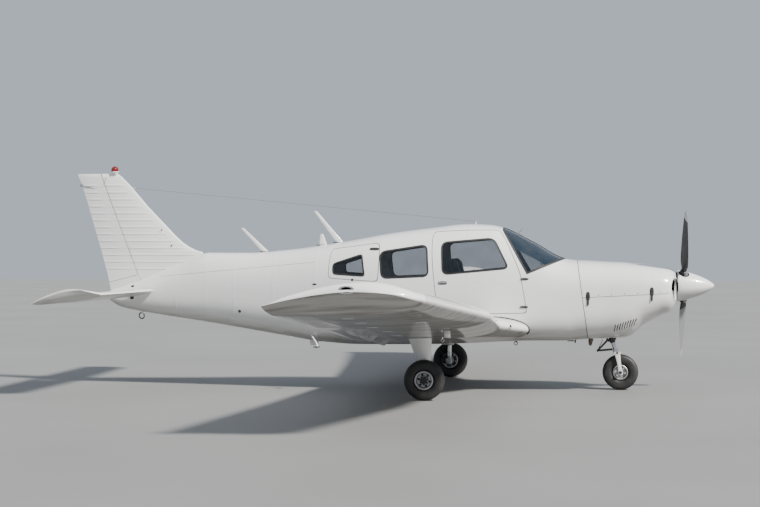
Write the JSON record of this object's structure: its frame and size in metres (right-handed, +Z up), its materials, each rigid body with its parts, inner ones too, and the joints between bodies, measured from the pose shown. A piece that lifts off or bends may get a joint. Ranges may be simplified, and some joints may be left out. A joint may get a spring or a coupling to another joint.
{
  "type": "light aircraft, four seats, one engine, low wing, fixed tricycle gear",
  "caption": "White four-seat low-wing light aircraft with one propeller, an all-moving tailplane, fixed tricycle gear and a cabin door over the right wing.",
  "frame": {"origin": "on the ground, midway between the spinner's tip and the rudder's trailing edge, in the plane of symmetry", "axes": "+X forward to the spinner, +Y to the left wing tip, +Z up"},
  "size_m": [7.25, 10.67, 2.522],
  "materials": {
    "white_paint": "gloss white enamel on aluminium sheet",
    "window_tint": "polished grey-tinted acrylic",
    "tyre_rubber": "worn black tyre rubber",
    "wheel_alloy": "cast alloy, dusty",
    "dark_steel": "black painted steel, oily",
    "bare_steel": "polished oleo tube",
    "seat_cloth": "dark blue woven cloth",
    "cabin_trim": "grained moulded plastic",
    "red_lens": "clear red plastic",
    "blade_paint": "matt black on the rear, grey on the front"
  },
  "bodies": {
    "airframe": {"cabin_floor": "white_paint", "cabin_side_right": "white_paint", "cabin_side_left": "white_paint", "cabin_roof": "white_paint", "window_rear_right": "window_tint", "window_rear_left": "window_tint", "window_front_left": "window_tint", "window_baggage_left": "window_tint", "windshield_right": "window_tint", "windshield_left": "window_tint", "tail_cone": "white_paint", "cowl_upper": "white_paint", "cowl_lower": "white_paint", "engine_block": "dark_steel", "wing_right": "white_paint", "wing_left": "white_paint", "fin": "white_paint", "beacon": "red_lens", "main_leg_right": "white_paint", "main_axle_right": "bare_steel", "main_leg_left": "white_paint", "main_axle_left": "bare_steel", "nose_gear_mount": "dark_steel", "seat_frame_front_right": "cabin_trim", "seat_cushion_front_right": "seat_cloth", "seat_back_front_right": "seat_cloth", "seat_frame_front_left": "cabin_trim", "seat_cushion_front_left": "seat_cloth", "seat_back_front_left": "seat_cloth", "seat_frame_rear": "cabin_trim", "seat_cushion_rear": "seat_cloth", "seat_back_rear": "seat_cloth", "instrument_panel": "cabin_trim", "control_wheel_right": "cabin_trim", "control_wheel_left": "cabin_trim", "aerial_front": "white_paint", "aerial_rear": "white_paint", "aerial_blade": "white_paint", "exhaust_pipe": "dark_steel"},
    "prop": {"propeller": "blade_paint", "spinner": "white_paint"},
    "nose_leg": {"nose_strut": "dark_steel", "nose_fork": "white_paint"},
    "nose_roller": {"nose_wheel": "wheel_alloy", "nose_tyre": "tyre_rubber"},
    "main_roller_right": {"main_wheel_right": "wheel_alloy", "main_tyre_right": "tyre_rubber"},
    "main_roller_left": {"main_wheel_left": "wheel_alloy", "main_tyre_left": "tyre_rubber"},
    "rudder_body": {"rudder": "white_paint"},
    "stabilator_body": {"stabilator": "white_paint"},
    "tab_body": {"anti_servo_tab": "white_paint"},
    "aileron_right_body": {"aileron_right": "white_paint"},
    "aileron_left_body": {"aileron_left": "white_paint"},
    "flap_right_body": {"flap_right": "white_paint"},
    "flap_left_body": {"flap_left": "white_paint"},
    "cabin_door_body": {"cabin_door": "white_paint", "window_front_right": "window_tint"},
    "baggage_door_body": {"baggage_door": "white_paint", "window_baggage_right": "window_tint"}
  },
  "joints": [
    {"name": "prop_spin", "type": "hinge", "parent": "airframe", "child": "prop", "pos_m": [3.292, 0, 1.157], "axis": [1, 0, 0], "continuous": true},
    {"name": "nose_steer", "type": "hinge", "parent": "airframe", "child": "nose_leg", "pos_m": [2.555, 0, 0.42], "axis": [-0.309, 0, 0.9511], "range_deg": [-30, 30]},
    {"name": "nose_wheel_spin", "type": "hinge", "parent": "nose_leg", "child": "nose_roller", "pos_m": [2.602, 0, 0.197], "axis": [0, 1, 0], "continuous": true},
    {"name": "main_wheel_right_spin", "type": "hinge", "parent": "airframe", "child": "main_roller_right", "pos_m": [0.576, -1.525, 0.21], "axis": [0, 1, 0], "continuous": true},
    {"name": "main_wheel_left_spin", "type": "hinge", "parent": "airframe", "child": "main_roller_left", "pos_m": [0.576, 1.525, 0.21], "axis": [0, 1, 0], "continuous": true},
    {"name": "rudder_swing", "type": "hinge", "parent": "airframe", "child": "rudder_body", "pos_m": [-2.923, 0, 1.205], "axis": [-0.3617, 0, 0.9323], "range_deg": [-27, 27]},
    {"name": "stabilator_pitch", "type": "hinge", "parent": "airframe", "child": "stabilator_body", "pos_m": [-2.9, 0, 1.062], "axis": [0, 1, 0], "range_deg": [0, 16]},
    {"name": "tab_pitch", "type": "hinge", "parent": "stabilator_body", "child": "tab_body", "pos_m": [-3.3, 0, 0.995], "axis": [0, 1, 0], "range_deg": [0, 12]},
    {"name": "aileron_right_swing", "type": "hinge", "parent": "airframe", "child": "aileron_right_body", "pos_m": [0.075, -3.27, 0.883], "axis": [0.0639, 0.9928, -0.101], "range_deg": [-15, 30]},
    {"name": "aileron_left_swing", "type": "hinge", "parent": "airframe", "child": "aileron_left_body", "pos_m": [0.075, 3.27, 0.883], "axis": [-0.0639, 0.9928, 0.101], "range_deg": [-15, 30]},
    {"name": "flap_left_swing", "type": "hinge", "parent": "airframe", "child": "flap_left_body", "pos_m": [0.08, 0.64, 0.505], "axis": [0, -0.9945, -0.1046], "range_deg": [0, 40]},
    {"name": "flap_right_swing", "type": "hinge", "parent": "airframe", "child": "flap_right_body", "pos_m": [0.08, -0.64, 0.505], "axis": [0, -0.9945, 0.1046], "range_deg": [0, 40]},
    {"name": "cabin_door_swing", "type": "hinge", "parent": "airframe", "child": "cabin_door_body", "pos_m": [1.588, -0.562, 1.05], "axis": [0, 0.0854, 0.9963], "range_deg": [0, 80]},
    {"name": "baggage_door_swing", "type": "hinge", "parent": "airframe", "child": "baggage_door_body", "pos_m": [-0.588, -0.306, 1.57], "axis": [-0.9823, 0.1411, -0.123], "range_deg": [0, 75]}
  ],
  "couplings": [
    {"joint": "rudder_swing", "follows": "nose_steer", "ratio": -0.9},
    {"joint": "tab_pitch", "follows": "stabilator_pitch", "ratio": 0.75},
    {"joint": "flap_right_swing", "follows": "flap_left_swing", "ratio": 1}
  ]
}
